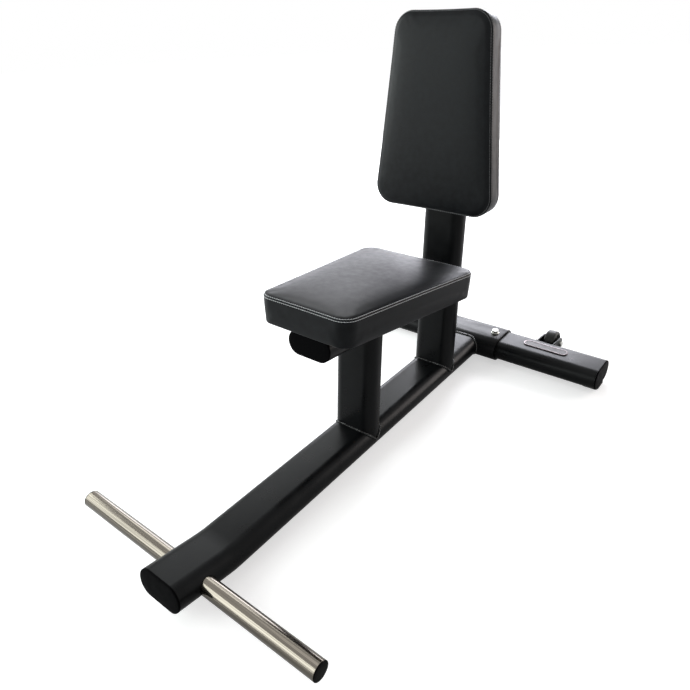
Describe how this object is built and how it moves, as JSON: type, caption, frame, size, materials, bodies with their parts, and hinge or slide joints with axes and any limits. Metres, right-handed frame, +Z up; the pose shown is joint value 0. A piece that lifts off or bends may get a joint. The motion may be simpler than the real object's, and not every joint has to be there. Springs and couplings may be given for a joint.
{
  "type": "utility bench",
  "caption": "Upright seated exercise bench: flat-oval steel frame, padded seat and back, chrome footrest bar, rear crossbar with feet and transport wheels.",
  "frame": {"origin": "middle of the footprint on the floor, under the bench", "axes": "+Z up; +Y back, from the footrest bar to the rear crossbar; +X to the left of a person seated on the bench"},
  "size_m": [0.8636, 1.3636, 1.0102],
  "materials": {
    "powder_coat": "satin black powder coat",
    "chrome_plate": "polished chrome plate",
    "black_plastic": "moulded black plastic",
    "vinyl": "semi-gloss grained black vinyl",
    "plywood": "bare birch plywood",
    "zinc_plate": "bright zinc-plated steel",
    "aluminium_plate": "satin aluminium",
    "black_rubber": "matt black rubber",
    "nylon": "natural nylon"
  },
  "bodies": {
    "frame": {"axle_bolt_left": "zinc_plate", "axle_bolt_right": "zinc_plate", "axle_nut_left": "zinc_plate", "axle_nut_right": "zinc_plate", "back_board": "plywood", "back_bolt_1": "zinc_plate", "back_bolt_2": "zinc_plate", "back_bolt_3": "zinc_plate", "back_bolt_4": "zinc_plate", "back_pad": "vinyl", "back_plate_lower": "powder_coat", "back_plate_upper": "powder_coat", "back_post": "powder_coat", "back_post_cap": "black_plastic", "badge_plate": "aluminium_plate", "crossbar_cap_left": "black_plastic", "crossbar_cap_right": "black_plastic", "footrest_bar": "chrome_plate", "footrest_cap_left": "black_plastic", "footrest_cap_right": "black_plastic", "front_foot": "black_rubber", "front_foot_screw": "zinc_plate", "front_post": "powder_coat", "main_spine": "powder_coat", "rear_crossbar": "powder_coat", "rear_foot_left": "black_rubber", "rear_foot_left_screw": "zinc_plate", "rear_foot_right": "black_rubber", "rear_foot_right_screw": "zinc_plate", "rear_sleeve": "powder_coat", "seat_board": "plywood", "seat_bolt_1": "zinc_plate", "seat_bolt_2": "zinc_plate", "seat_bolt_3": "zinc_plate", "seat_bolt_4": "zinc_plate", "seat_pad": "vinyl", "seat_plate_front": "powder_coat", "seat_plate_rear": "powder_coat", "seat_tube": "powder_coat", "seat_tube_cap": "black_plastic", "sleeve_bolt_left": "zinc_plate", "sleeve_bolt_right": "zinc_plate", "sleeve_nut_left": "zinc_plate", "sleeve_nut_right": "zinc_plate", "sleeve_washer_left": "zinc_plate", "sleeve_washer_right": "zinc_plate", "spine_front_cap": "black_plastic", "wheel_bracket_left_inner": "powder_coat", "wheel_bracket_left_outer": "powder_coat", "wheel_bracket_right_inner": "powder_coat", "wheel_bracket_right_outer": "powder_coat", "wheel_bush_left": "nylon", "wheel_bush_right": "nylon"},
    "left_wheel": {"wheel_left": "black_rubber"},
    "right_wheel": {"wheel_right": "black_rubber"}
  },
  "joints": [
    {"name": "left_wheel_spin", "type": "hinge", "parent": "frame", "child": "left_wheel", "pos_m": [0.237, 0.64593, 0.04], "axis": [1, 0, 0], "continuous": true},
    {"name": "right_wheel_spin", "type": "hinge", "parent": "frame", "child": "right_wheel", "pos_m": [-0.237, 0.64593, 0.04], "axis": [1, 0, 0], "continuous": true}
  ]
}
